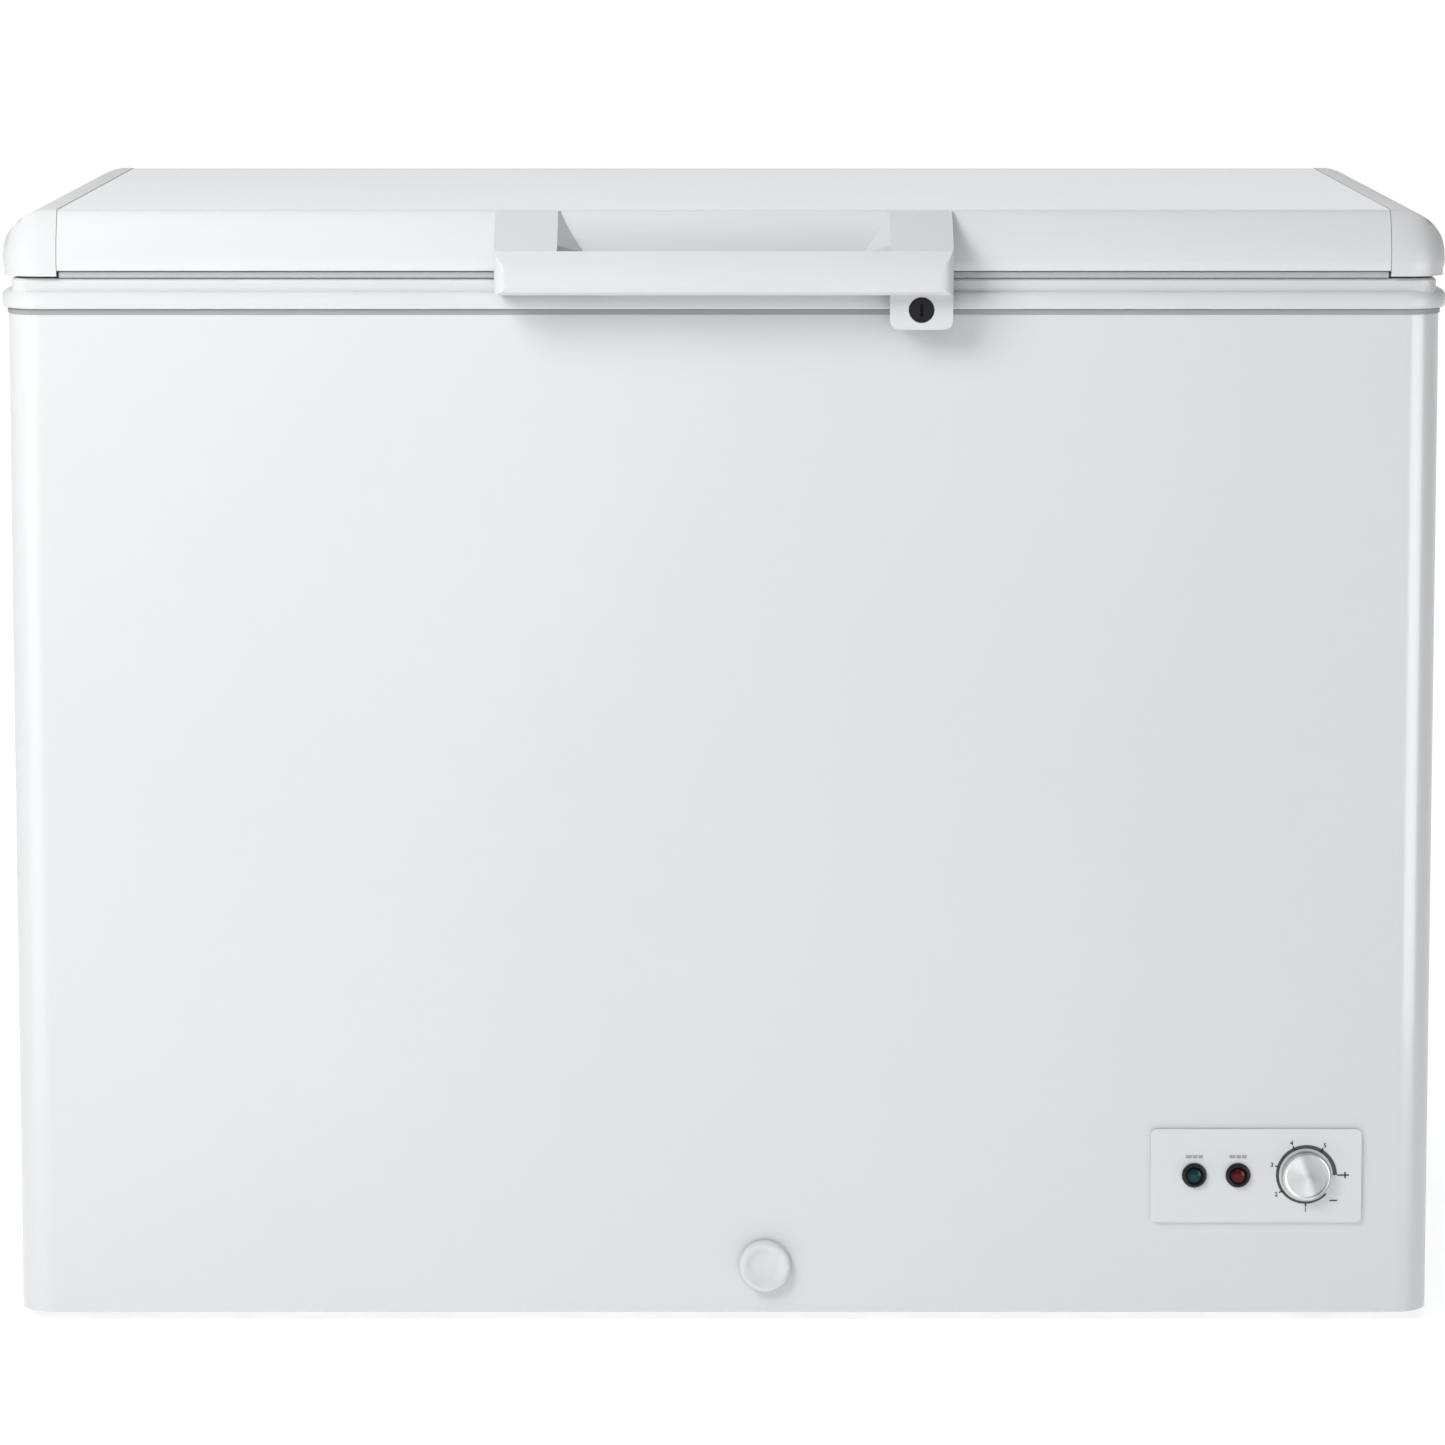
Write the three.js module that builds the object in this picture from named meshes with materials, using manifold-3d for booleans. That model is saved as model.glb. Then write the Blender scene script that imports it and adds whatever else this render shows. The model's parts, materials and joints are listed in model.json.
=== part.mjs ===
// A 320 litre chest freezer. Millimetres, +Z up, front towards -Y, origin on the floor under its middle.
// Sheets and mouldings that touch keep a gap of about 0.3 mm, so that every piece is a solid of its own.
import * as THREE from "three";
import { mergeVertices } from "three/addons/utils/BufferGeometryUtils.js";
import Module from "manifold-3d";

const wasm = await Module();
wasm.setup();

// ---------------------------------------------------------------- driving dimensions
const GAP = 0.3; // between pieces that touch
const FOOT_HEIGHT = 8;
const CABINET = { halfWidth: 550, front: -309, back: 329, frontRadius: 28, backRadius: 6 };
const SHEET = 0.8; // painted steel of the cabinet, and the liner
const RIM_TOP = 815.5;
const BAND = { ...CABINET, halfWidth: 546, frontRadius: 13 }; // the rim above its bead
const WRAP_TOP = 803;
const WALL = 59.5; // from the cabinet's outside to the liner's outside
const TUB_FLOOR = 78;
const STEP_TOP = 316; // floor of the shallow end, over the compressor
const STEP_X = 226; // where the deep end stops
const BAY = { x: 296, z: 252.5 }; // inner corner of the compressor bay in the foam

const LID = { halfWidth: 553.6, front: -314.5, back: 329, frontRadius: 30, backRadius: 14 };
const LID_BOTTOM = 821.6;
const LID_TOP = 867.6;
const CAP_BOTTOM = 817.3;
const CAP_JOINT = 510; // the end caps begin here
const CAP_PROUD = 0.4;
const CAP_ROUND = 38; // radius over the lid's ends, from side to top
const PIVOT = { y: 343, z: 812 };
const HINGE_X = 330;

const HANDLE = {
  front: -356,
  bottom: 805.6,
  halfWidth: 174.5,
  postInner: 126.5,
  barThickness: 14,
  flare: 22, // how far the inner sides of the posts spread towards the lid
};
const LOCK = { x: 150.5, z: 793.4, front: -337, back: -321, bottom: 778.4 };

const PANEL = { x: 414, z: 117, width: 164, height: 73.7, proud: 2.2 };
const LAMP_X = [366, 400];
const KNOB = { x: 452.8, z: 117.5, radius: 19.3, depth: 7 };
const DRAIN = { x: 32.1, z: 45.7, y: -215, bore: 7.7, outer: 10 };

// ---------------------------------------------------------------- materials
const paint = (colour, roughness, metalness = 0) =>
  new THREE.MeshStandardMaterial({ color: colour, roughness, metalness });
const MATERIAL = {
  white_steel: paint(0xe6e7e9, 0.3),
  lid_steel: paint(0xe4e7ea, 0.28),
  white_plastic: paint(0xe9eaec, 0.35),
  fascia_plastic: paint(0xdfe2e4, 0.4),
  galvanised_steel: paint(0xb4b8ba, 0.45, 0.8),
  bright_steel: paint(0xc9ccce, 0.3, 0.9),
  liner_aluminium: paint(0xdfe1e2, 0.35, 0.3),
  foam: paint(0xe8dcae, 0.9),
  gasket_rubber: paint(0xc8c9cb, 0.7),
  black_plastic: paint(0x1d1e20, 0.4),
  black_enamel: paint(0x17181a, 0.35),
  copper: paint(0xb56f47, 0.3, 0.9),
  green_lens: paint(0x0e4a44, 0.1),
  red_lens: paint(0x7c0d14, 0.1),
  silver_plastic: paint(0xd9dadd, 0.35, 0.3),
};

// ---------------------------------------------------------------- solids and meshes
function toSolid(geometry) {
  const bare = new THREE.BufferGeometry();
  bare.setAttribute("position", geometry.getAttribute("position"));
  bare.setIndex(geometry.getIndex());
  const merged = mergeVertices(bare, 1e-4);
  return new wasm.Manifold(
    new wasm.Mesh({
      numProp: 3,
      vertProperties: merged.attributes.position.array,
      triVerts: new Uint32Array(merged.index.array),
    }),
  );
}

function toGeometry(solid) {
  const mesh = solid.getMesh();
  const geometry = new THREE.BufferGeometry();
  geometry.setAttribute("position", new THREE.BufferAttribute(mesh.vertProperties, 3));
  geometry.setIndex(new THREE.BufferAttribute(mesh.triVerts, 1));
  geometry.computeVertexNormals();
  return geometry;
}

const union = (...solids) => solids.reduce((all, next) => all.add(next));
const cut = (solid, ...tools) => tools.reduce((left, tool) => left.subtract(tool), solid);

const root = new THREE.Group();
function place(name, solid, material) {
  const mesh = new THREE.Mesh(toGeometry(solid), material);
  mesh.name = name;
  root.add(mesh);
}

// ---------------------------------------------------------------- primitive shapes in the part's frame
function box([x0, x1], [y0, y1], [z0, z1]) {
  const geometry = new THREE.BoxGeometry(x1 - x0, y1 - y0, z1 - z0);
  geometry.translate((x0 + x1) / 2, (y0 + y1) / 2, (z0 + z1) / 2);
  return toSolid(geometry);
}

function polygon(points) {
  return new THREE.Shape(points.map(([a, b]) => new THREE.Vector2(a, b)));
}

// Extrudes a shape drawn in the plane across an axis: (y, z) along X, (x, z) along Y, (x, y) along Z.
function extrude(axis, shape, from, to, curveSegments = 6) {
  const depth = to - from;
  const geometry = new THREE.ExtrudeGeometry(shape, { depth, bevelEnabled: false, curveSegments });
  const [X, Y, Z] = [new THREE.Vector3(1, 0, 0), new THREE.Vector3(0, 1, 0), new THREE.Vector3(0, 0, 1)];
  const turned = new THREE.Matrix4();
  if (axis === "x") turned.makeBasis(Y, Z, X).setPosition(from, 0, 0);
  if (axis === "y") turned.makeBasis(X, Z, Y.clone().negate()).setPosition(0, to, 0);
  if (axis === "z") turned.makeBasis(X, Y, Z).setPosition(0, 0, from);
  geometry.applyMatrix4(turned);
  return toSolid(geometry);
}

function roundedRectangle(x0, x1, y0, y1, radius) {
  const shape = new THREE.Shape();
  shape.moveTo(x0 + radius, y0);
  shape.lineTo(x1 - radius, y0).absarc(x1 - radius, y0 + radius, radius, -Math.PI / 2, 0);
  shape.lineTo(x1, y1 - radius).absarc(x1 - radius, y1 - radius, radius, 0, Math.PI / 2);
  shape.lineTo(x0 + radius, y1).absarc(x0 + radius, y1 - radius, radius, Math.PI / 2, Math.PI);
  shape.lineTo(x0, y0 + radius).absarc(x0 + radius, y0 + radius, radius, Math.PI, 1.5 * Math.PI);
  return shape;
}

// A turned solid about Y, -Y or Z. Its profile of [radius, distance along the axis] starts and ends on the
// axis or closes on itself.
function turned(axis, [cx, cy, cz], profile, sides = 24) {
  const geometry = new THREE.LatheGeometry(
    profile.map(([r, d]) => new THREE.Vector2(r, d)),
    sides,
  );
  if (axis === "-y") geometry.rotateZ(Math.PI);
  if (axis === "z") geometry.rotateX(Math.PI / 2);
  geometry.translate(cx, cy, cz);
  return toSolid(geometry);
}

// A cylinder along X, Y or Z between two places on that axis.
function rod(axis, [a, b], radius, from, to, sides = 16) {
  const geometry = new THREE.CylinderGeometry(radius, radius, to - from, sides);
  const middle = (from + to) / 2;
  if (axis === "x") geometry.rotateZ(Math.PI / 2).translate(middle, a, b);
  if (axis === "y") geometry.translate(a, middle, b);
  if (axis === "z") geometry.rotateX(Math.PI / 2).translate(a, b, middle);
  return toSolid(geometry);
}

// ---------------------------------------------------------------- outlines that follow a rounded rectangle
const ring = ({ halfWidth, front, back, frontRadius, backRadius }) => ({
  x0: -halfWidth,
  x1: halfWidth,
  y0: front,
  y1: back,
  frontRadius,
  backRadius,
});
const SMALLEST_RADIUS = 12;

// The rectangle grown outwards by u, counter-clockwise from above.
function outline(rect, u, steps) {
  const frontRadius = Math.max(rect.frontRadius + u, Math.min(SMALLEST_RADIUS, rect.frontRadius));
  const backRadius = Math.max(rect.backRadius + u, Math.min(SMALLEST_RADIUS, rect.backRadius));
  const corners = [
    [rect.x1 + u, rect.y0 - u, frontRadius, -1, 1, -Math.PI / 2],
    [rect.x1 + u, rect.y1 + u, backRadius, -1, -1, 0],
    [rect.x0 - u, rect.y1 + u, backRadius, 1, -1, Math.PI / 2],
    [rect.x0 - u, rect.y0 - u, frontRadius, 1, 1, Math.PI],
  ];
  const points = [];
  for (const [x, y, radius, sx, sy, start] of corners) {
    const parts = sy > 0 ? steps : Math.ceil(steps / 2);
    for (let k = 0; k <= parts; k++) {
      const angle = start + (k / parts) * (Math.PI / 2);
      points.push([
        x + sx * radius + radius * Math.cos(angle),
        y + sy * radius + radius * Math.sin(angle),
      ]);
    }
  }
  return points;
}

// Joins outlines, one for each [u, z] of a profile. An open profile is closed by its first and last ones.
function around(rect, profile, { closed = false, steps = 4 } = {}) {
  const rings = profile.map(([u, z]) => outline(rect, u, steps).map(([x, y]) => [x, y, z]));
  const count = rings[0].length;
  const index = [];
  const last = closed ? rings.length : rings.length - 1;
  for (let j = 0; j < last; j++) {
    const [low, high] = [j * count, ((j + 1) % rings.length) * count];
    for (let i = 0; i < count; i++) {
      const next = (i + 1) % count;
      index.push(low + i, low + next, high + next, low + i, high + next, high + i);
    }
  }
  const top = (rings.length - 1) * count;
  for (let i = 1; !closed && i < count - 1; i++) {
    index.push(0, i + 1, i);
    index.push(top, top + i, top + i + 1);
  }
  const geometry = new THREE.BufferGeometry();
  geometry.setAttribute("position", new THREE.Float32BufferAttribute(rings.flat(2), 3));
  geometry.setIndex(index);
  return toSolid(geometry);
}

const cabinetRing = ring(CABINET);
const bandRing = ring(BAND);
const lidRing = ring(LID);

// A tube through a few points, with a round section.
function tube(points, radius, sides, steps) {
  const path = new THREE.CatmullRomCurve3(points.map((p) => new THREE.Vector3(...p)), false, "centripetal");
  const section = new THREE.Shape();
  for (let k = 0; k < sides; k++) {
    const angle = (2 * Math.PI * k) / sides;
    const [a, b] = [radius * Math.cos(angle), radius * Math.sin(angle)];
    if (k === 0) section.moveTo(a, b);
    else section.lineTo(a, b);
  }
  section.closePath();
  return toSolid(new THREE.ExtrudeGeometry(section, { steps, extrudePath: path, bevelEnabled: false }));
}

// ---------------------------------------------------------------- the cabinet's sheets
function outerWrap() {
  const skin = around(
    cabinetRing,
    [[-SHEET, FOOT_HEIGHT], [0, FOOT_HEIGHT], [0, WRAP_TOP], [-SHEET, WRAP_TOP]],
    { closed: true, steps: 6 },
  );
  const openBack = box([-530, 530], [320, 340], [0, 900]);
  const panelHole = box([PANEL.x - 75, PANEL.x + 75], [-320, -300], [PANEL.z - 30, PANEL.z + 30]);
  const drainHole = rod("y", [DRAIN.x, DRAIN.z], DRAIN.outer + 0.4, -320, -300);
  const grilleHole = box([540, 560], [75, 265], [45, 205]);
  return cut(skin, openBack, panelHole, drainHole, grilleHole);
}

function backPanel() {
  const sheet = box([-538, 538], [CABINET.back + GAP, CABINET.back + GAP + SHEET], [12, 790]);
  return cut(sheet, box([318, 528], [320, 340], [22, 226]));
}

function basePlate() {
  return around(cabinetRing, [[-SHEET - GAP, FOOT_HEIGHT + GAP], [-SHEET - GAP, FOOT_HEIGHT + 1.5]]);
}

function foot(x, y) {
  return turned("z", [x, y, 0], [[0, 0], [20, 0], [20, 3], [17, FOOT_HEIGHT], [0, FOOT_HEIGHT]], 16);
}

const tubRing = {
  x0: -(CABINET.halfWidth - WALL),
  x1: CABINET.halfWidth - WALL,
  y0: CABINET.front + WALL,
  y1: CABINET.back - WALL,
  frontRadius: 34,
  backRadius: 34,
};

// The tub's shape grown and lowered by u: a full-width upper part and a deep end with rounded edges.
function tubForm(u, top) {
  const deep = { ...tubRing, x1: STEP_X + SHEET };
  const bottomEdge = (floor) => [[u - 8, floor], [u - 2.4, floor + 2.4], [u, floor + 8]];
  return union(
    around(tubRing, [...bottomEdge(STEP_TOP - SHEET - u), [u, top]]),
    around(deep, [...bottomEdge(TUB_FLOOR - SHEET - u), [u, STEP_TOP + 20]]),
  );
}

function innerLiner() {
  const shell = cut(tubForm(0, 812.2), tubForm(-SHEET, 830));
  return cut(shell, rod("z", [DRAIN.x, DRAIN.y], DRAIN.outer + 0.4, 60, 90));
}

const COIL_POCKET = [385, 775]; // height of the pocket that holds the evaporator tube
const SKIN_POCKET = [300, 775]; // height of the pocket that holds the condenser tube

function insulationFoam() {
  const outside = -SHEET - GAP;
  const block = around(cabinetRing, [
    [outside, FOOT_HEIGHT + 1.8],
    [outside, SKIN_POCKET[0]],
    [-9.8, SKIN_POCKET[0]],
    [-9.8, SKIN_POCKET[1]],
    [outside, SKIN_POCKET[1]],
    [outside, WRAP_TOP - GAP],
    [-10, WRAP_TOP - GAP],
    [-10, 806],
  ]);
  const neck = around(bandRing, [[-3.4, WRAP_TOP + GAP], [-3.4, 812.2]]);
  const [coilBottom, coilTop] = COIL_POCKET;
  const coilPocket = around(
    cabinetRing,
    [[-WALL - 4, coilBottom], [-49.5, coilBottom], [-49.5, coilTop], [-WALL - 4, coilTop]],
    { closed: true },
  );
  const bay = box([BAY.x, 560], [-320, 340], [0, BAY.z]);
  const drain = union(
    rod("z", [DRAIN.x, DRAIN.y], DRAIN.outer + 0.4, DRAIN.z, 90),
    rod("y", [DRAIN.x, DRAIN.z], DRAIN.outer + 0.4, -320, DRAIN.y + DRAIN.outer + 0.4),
  );
  return cut(union(block, neck), tubForm(GAP, 830), coilPocket, bay, drain);
}

// The moulded frame round the opening: a rounded bead over the wrap's edge, a plain band above it, and the
// flat that the gasket meets.
function rimFrame() {
  const bead = around(
    cabinetRing,
    [
      [1, 792], [3.4, 792.4], [4.7, 794.4], [5, 798.5], [4.7, 802.8], [3.2, 805], [0.6, 805.8], [-9, 806.4],
    ],
    { steps: 6 },
  );
  const band = around(bandRing, [[0, 804], [0, 813.8], [-1.5, RIM_TOP]], { steps: 6 });
  const overWrap = around(cabinetRing, [[0.35, 780], [0.35, WRAP_TOP + 0.4]], { steps: 6 });
  const insideBand = around(bandRing, [[-2.6, WRAP_TOP], [-2.6, 812.5]], { steps: 6 });
  const lip = around(tubRing, [[-1.1, 804], [-1.1, 814]]);
  const mouth = around(tubRing, [[-2.5, 790], [-2.5, 820]]);
  return cut(union(cut(union(bead, band), overWrap, insideBand), lip), mouth);
}

function bayPanel() {
  const [x, z, thick] = [BAY.x + GAP, BAY.z - GAP, 1];
  const angle = polygon([
    [x, 9.8], [x + thick, 9.8], [x + thick, z - thick], [548.8, z - thick], [548.8, z], [x, z],
  ]);
  const insideWrap = around(cabinetRing, [[-SHEET - GAP, 0], [-SHEET - GAP, 300]]);
  return extrude("y", angle, CABINET.front, CABINET.back).intersect(insideWrap);
}

// ---------------------------------------------------------------- refrigerant tubes in the foam
// Loops round the cabinet, joined one to the next by a short riser, each opened beside its risers.
function tubeLoops(u, radius, heights, riserX) {
  const sides = 6;
  const section = Array.from({ length: sides }, (_, k) => (2 * Math.PI * k) / sides);
  const loops = heights.map((z) =>
    around(
      cabinetRing,
      section.map((angle) => [u + radius * Math.cos(angle), z + radius * Math.sin(angle)]),
      { closed: true, steps: 2 },
    ),
  );
  const riserY = (k) => -120 + 60 * k;
  const risers = heights
    .slice(1)
    .map((z, k) => rod("z", [riserX, riserY(k)], radius, heights[k], z, 8));
  const breaks = heights.map((z, k) =>
    box([riserX - 10, riserX + 10], [riserY(k - 1) + 20, riserY(k) - 20], [z - 8, z + 8]),
  );
  return union(cut(union(...loops), ...breaks), ...risers);
}

const evaporatorTube = () => tubeLoops(-54.4, 4, [410, 575, 740], -(CABINET.halfWidth - 54.4));
const condenserTube = () => tubeLoops(-4.6, 2.4, [330, 540, 750], -(CABINET.halfWidth - 4.6));

// ---------------------------------------------------------------- the drain
function drainTube() {
  const elbow = (radius, top, front) =>
    union(
      rod("z", [DRAIN.x, DRAIN.y], radius, DRAIN.z, top),
      rod("y", [DRAIN.x, DRAIN.z], radius, front, DRAIN.y),
    );
  const ball = (radius) => {
    const geometry = new THREE.SphereGeometry(radius, 16, 8);
    geometry.translate(DRAIN.x, DRAIN.y, DRAIN.z);
    return toSolid(geometry);
  };
  const outside = union(elbow(DRAIN.outer, TUB_FLOOR, -309.4), ball(DRAIN.outer));
  const bore = union(elbow(DRAIN.bore, 90, -330), ball(DRAIN.bore));
  return cut(outside, bore);
}

function drainCap() {
  const back = -310;
  const profile = [
    [0, -20], [7.3, -20], [7.3, 0], [20, 0], [20.5, 2],
    [19.4, 6.4], [17.4, 7.8], [15, 7.2], [9, 4.8], [0, 4.2],
  ];
  return turned("-y", [DRAIN.x, back, DRAIN.z], profile, 20);
}

function drainPlug() {
  const floor = TUB_FLOOR + GAP;
  const profile = [
    [0, -16], [6.8, -16], [7.3, -13], [7.3, 0], [16, 0], [15.4, 3], [6, 4], [5, 11], [0, 11],
  ];
  return turned("z", [DRAIN.x, DRAIN.y, floor], profile, 16);
}

// ---------------------------------------------------------------- the control panel
const FASCIA_BACK = CABINET.front - GAP;
const FASCIA_FRONT = FASCIA_BACK - PANEL.proud;

function controlFascia() {
  const plate = extrude(
    "y",
    roundedRectangle(
      PANEL.x - PANEL.width / 2,
      PANEL.x + PANEL.width / 2,
      PANEL.z - PANEL.height / 2,
      PANEL.z + PANEL.height / 2,
      4.5,
    ),
    FASCIA_FRONT,
    FASCIA_BACK,
  );
  const [x0, x1, z0, z1] = [PANEL.x - 73, PANEL.x + 73, PANEL.z - 28, PANEL.z + 28];
  const sleeve = cut(
    box([x0, x1], [FASCIA_BACK - 1, -270], [z0, z1]),
    box([x0 + 2, x1 - 2], [FASCIA_BACK, -260], [z0 + 2, z1 - 2]),
  );
  const lampHoles = LAMP_X.map((x) => rod("y", [x, KNOB.z], 8.2, -330, -300));
  return cut(union(plate, sleeve), ...lampHoles, rod("y", [KNOB.x, KNOB.z], 3.6, -330, -300));
}

function lampBezel(x) {
  const profile = [
    [6.6, -12], [7.9, -12], [7.9, 0], [9.7, 0], [9.7, 1], [8.9, 2.6], [7.4, 3], [6.6, 2.4], [6.6, -12],
  ];
  return turned("-y", [x, FASCIA_FRONT - GAP, KNOB.z], profile, 16);
}

function lampLens(x) {
  const profile = [[0, -14], [6.3, -14], [6.3, 1.2], [5.2, 2.9], [2.9, 4], [0, 4.4]];
  return turned("-y", [x, FASCIA_FRONT - GAP, KNOB.z], profile, 16);
}

const KNOB_BACK = FASCIA_FRONT - 0.5;
const SOCKET_DEPTH = 4.5; // of the hole in the knob that takes the shaft

function thermostatKnob() {
  const { radius, depth } = KNOB;
  const profile = [
    [0, 0], [radius, 0], [radius, 2], [radius - 0.5, depth - 1.2], [radius - 1.6, depth], [0, depth + 0.4],
  ];
  const body = turned("-y", [KNOB.x, KNOB_BACK, KNOB.z], profile, 24);
  return cut(body, rod("y", [KNOB.x, KNOB.z], 3.2, KNOB_BACK - SOCKET_DEPTH, KNOB_BACK + 5));
}

const thermostatShaft = () => rod("y", [KNOB.x, KNOB.z], 3, KNOB_BACK - SOCKET_DEPTH + GAP, -296, 12);

function thermostatBody() {
  const body = box([KNOB.x - 20, KNOB.x + 20], [-304, -268], [KNOB.z - 20, KNOB.z + 20]);
  return cut(body, rod("y", [KNOB.x, KNOB.z], 3.3, -310, -295.5));
}

// ---------------------------------------------------------------- the compressor bay
const COMPRESSOR = { x: 425, y: 205, floor: 32.8, height: 172, halfX: 82, halfY: 100 };

function compressorForm(grow) {
  const { x, y, floor, height, halfX, halfY } = COMPRESSOR;
  const profile = [
    [0, 0], [0.72, 0.02], [0.9, 0.12], [0.97, 0.34], [1.03, 0.36], [1.03, 0.4], [0.98, 0.42], [0.95, 0.62],
    [0.82, 0.84], [0.5, 0.97], [0, 1],
  ];
  const geometry = new THREE.LatheGeometry(profile.map(([r, h]) => new THREE.Vector2(r, h)), 16);
  geometry.rotateX(Math.PI / 2);
  geometry.scale(halfX + grow, halfY + grow, height + 2 * grow);
  geometry.translate(x, y, floor - grow);
  return toSolid(geometry);
}

const GROMMETS = [[-1, -1], [1, -1], [-1, 1], [1, 1]].map(([a, b]) => [
  COMPRESSOR.x + 78 * a,
  COMPRESSOR.y + 86 * b,
]);

function compressorBracket() {
  const { x, y } = COMPRESSOR;
  return extrude("z", roundedRectangle(x - 92, x + 92, y - 100, y + 100, 12), 30, 32.5, 3);
}

function grommet([x, y]) {
  const profile = [[0, 0], [12, 0], [12, 6], [8, 9], [8, 15], [11, 18], [11, 19.9], [0, 19.9]];
  return turned("z", [x, y, 9.8], profile, 12);
}

function terminalCover() {
  const { x, y, halfY } = COMPRESSOR;
  const block = box([x - 32, x + 32], [y - halfY - 26, y - halfY + 18], [78, 142]);
  return cut(block, compressorForm(0.6));
}

function suctionPipe() {
  const [x, y] = [COMPRESSOR.x - 35, COMPRESSOR.y - 60];
  const route = [
    [x + 6, y + 14, 170], [x, y, 205], [x - 14, y - 10, 228], [x - 50, y - 20, 234], [298.2, y - 24, 234],
  ];
  return cut(tube(route, 4, 8, 18), compressorForm(0.5));
}

function dischargePipe() {
  const [x, y] = [COMPRESSOR.x + 20, COMPRESSOR.y + 60];
  const route = [
    [x, y, 150], [x + 4, y + 26, 196], [x + 10, y + 34, 226], [x + 40, y + 10, 238],
    [x + 70, y - 60, 240], [x + 78, y - 120, 240], [x + 80, y - 200, 246],
  ];
  return cut(tube(route, 2.5, 8, 26), compressorForm(0.5));
}

function filterDrier() {
  const profile = [[0, 0], [3, 0], [3, 8], [9, 18], [9, 92], [3, 102], [3, 112], [0, 112]];
  return turned("z", [318, 100, 60], profile, 16);
}

function compressorCover() {
  const [y0, y1] = [CABINET.back + GAP + SHEET + GAP, CABINET.back + 2.6];
  const plate = box([306, 540], [y0, y1], [16, 238]);
  const slots = [];
  for (let row = 0; row < 8; row++) {
    const z = 62 + row * 19;
    for (const x of [332, 432]) slots.push(box([x, x + 84], [320, 340], [z, z + 6]));
  }
  return cut(plate, ...slots, rod("y", [345, 36], 8, 320, 340));
}

function cableGland() {
  const profile = [
    [3.6, 0], [9.5, 0], [9.5, 3.2], [7.7, 3.4], [7.7, 5.1],
    [11, 5.4], [11, 8], [7, 14], [3.6, 14], [3.6, 0],
  ];
  return turned("y", [345, 327, 36], profile, 16);
}

function sideGrille() {
  const [x0, x1] = [CABINET.halfWidth + GAP, CABINET.halfWidth + 3.2];
  const plate = extrude("x", roundedRectangle(66, 274, 36, 214, 6), x0, x1, 3);
  const slots = [];
  for (let row = 0; row < 8; row++) {
    const z = 53 + row * 19;
    slots.push(box([540, 560], [86, 254], [z, z + 9]));
  }
  return cut(plate, ...slots);
}

// ---------------------------------------------------------------- the lid
// Outward offset of the lid's side at a height: upright low down, leaning in towards the top.
function lidLean(z) {
  const [start, end, most] = [829, 866, 11.5];
  if (z <= start) return -1.4 * ((start - z) / (start - LID_BOTTOM)) ** 2;
  return -most * ((z - start) / (end - start)) ** 2.2;
}

function lidForm(grow, bottom, top) {
  const side = [LID_BOTTOM, 825, 829, 839, 848, 856, 862, 865.6].filter((z) => z > bottom && z < top - 1);
  const profile = [[lidLean(LID_BOTTOM) + grow, bottom], ...side.map((z) => [lidLean(z) + grow, z])];
  profile.push([-13.2 + grow, top - 0.5], [-16 + grow, top]);
  return around(lidRing, profile, { steps: 5 });
}

// The lid's ends seen from the front, grown by grow: upright sides that round over into the top.
function endArch(grow) {
  const [side, top, radius] = [LID.halfWidth + grow, LID_TOP + grow, CAP_ROUND + grow];
  const arch = new THREE.Shape();
  arch.moveTo(-side, 790).lineTo(side, 790);
  arch.lineTo(side, top - radius).absarc(side - radius, top - radius, radius, 0, Math.PI / 2);
  arch.lineTo(radius - side, top).absarc(radius - side, top - radius, radius, Math.PI / 2, Math.PI);
  return extrude("y", arch, -400, 400, 8);
}

const hem = (u) => around(lidRing, [[u, 800], [u, 830]]);

function lidOuterSkin() {
  const thick = 0.9;
  const shell = cut(
    lidForm(0, LID_BOTTOM, LID_TOP),
    lidForm(-thick, LID_BOTTOM + thick, LID_TOP - thick),
    hem(-20),
  );
  const between = box([-CAP_JOINT + GAP, CAP_JOINT - GAP], [-400, 400], [800, 900]);
  return cut(shell.intersect(between), ...handleScrewHoles(3));
}

function lidEndCap(side) {
  const inside = CAP_PROUD - 2.2;
  const shell = cut(
    lidForm(CAP_PROUD, CAP_BOTTOM, LID_TOP + CAP_PROUD).intersect(endArch(CAP_PROUD)),
    lidForm(inside, CAP_BOTTOM + 2.2, LID_TOP + inside).intersect(endArch(inside)),
    hem(-12),
  );
  const end = side < 0 ? [-600, -CAP_JOINT] : [CAP_JOINT, 600];
  return shell.intersect(box(end, [-400, 400], [800, 900]));
}

function lidLiner() {
  const under = around(lidRing, [[-82, 806.5], [-70, 819.8], [-12.5, 819.8], [-12.5, 821.3]]);
  return cut(under, around(lidRing, [[-84, 808.2], [-72.2, 821], [-72.2, 830]]));
}

function lidFoam() {
  const inside = -2.6;
  const core = around(lidRing, [
    [-84.2, 808.6], [-72.6, 821.6], [-20.4, 821.6], [-20.4, 822.9], [-14, 822.9], [-14, 840],
  ]);
  const block = lidForm(inside, 822.9, LID_TOP - 2.2).intersect(endArch(inside));
  return cut(union(core, block), ...handleScrewHoles(6));
}

function lidGasket() {
  return around(
    lidRing,
    [
      [-40, 816.6], [-37, 815.8], [-21, 815.8], [-18, 816.8],
      [-18, 818.2], [-20, 819.5], [-38, 819.5], [-40, 818.4],
    ],
    { closed: true },
  );
}

// ---------------------------------------------------------------- the handle and the lock
const HANDLE_SCREW = { x: 150.5, z: 842 };
const handleScrewHoles = (radius) =>
  [-1, 1].map((side) => rod("y", [side * HANDLE_SCREW.x, HANDLE_SCREW.z], radius, -337, -305, 12));

const FACE = [[-306, 866.8], [-349, 839]]; // top and bottom of a post's sloping face, as (y, z)

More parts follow.
